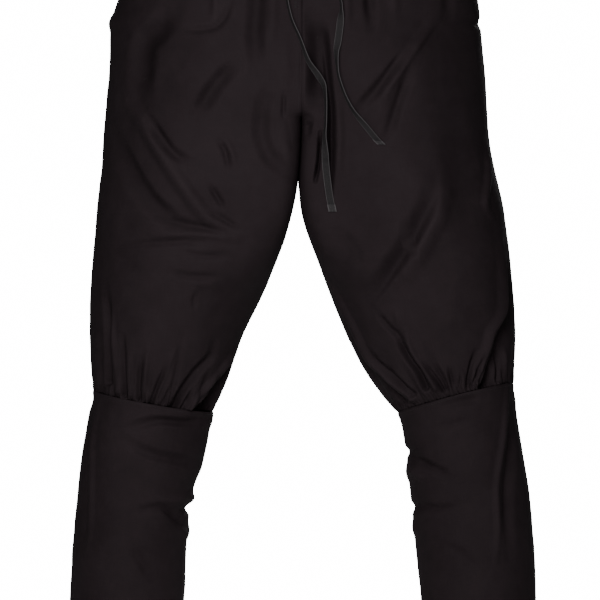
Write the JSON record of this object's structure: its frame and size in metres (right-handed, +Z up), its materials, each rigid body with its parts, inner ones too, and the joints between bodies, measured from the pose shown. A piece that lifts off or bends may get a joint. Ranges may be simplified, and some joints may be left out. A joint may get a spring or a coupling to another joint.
{
  "type": "drawstring trousers",
  "caption": "Black cotton drawstring trousers of a historic costume, full through the thigh and gathered below the knee into close lower legs, the flat tape ends hanging in front",
  "frame": {"origin": "the middle of the waist opening, level with its top edge, where the trousers are held", "axes": "+Z is up, from the hems to the waist; the front with the drawstring faces -Y; the wearer's left leg is at +X"},
  "size_m": [0.591, 0.3051, 1],
  "materials": {
    "cloth": "matt",
    "tape": "matt"
  },
  "bodies": {
    "root": {"front_panel_right": "cloth", "front_panel_left": "cloth", "back_panel_right": "cloth", "back_panel_left": "cloth", "lower_front_right": "cloth", "lower_front_left": "cloth", "lower_back_right": "cloth", "lower_back_left": "cloth", "waist_casing_front": "cloth", "waist_casing_back": "cloth", "drawstring_end_right": "tape", "drawstring_end_left": "tape"}
  },
  "joints": []
}
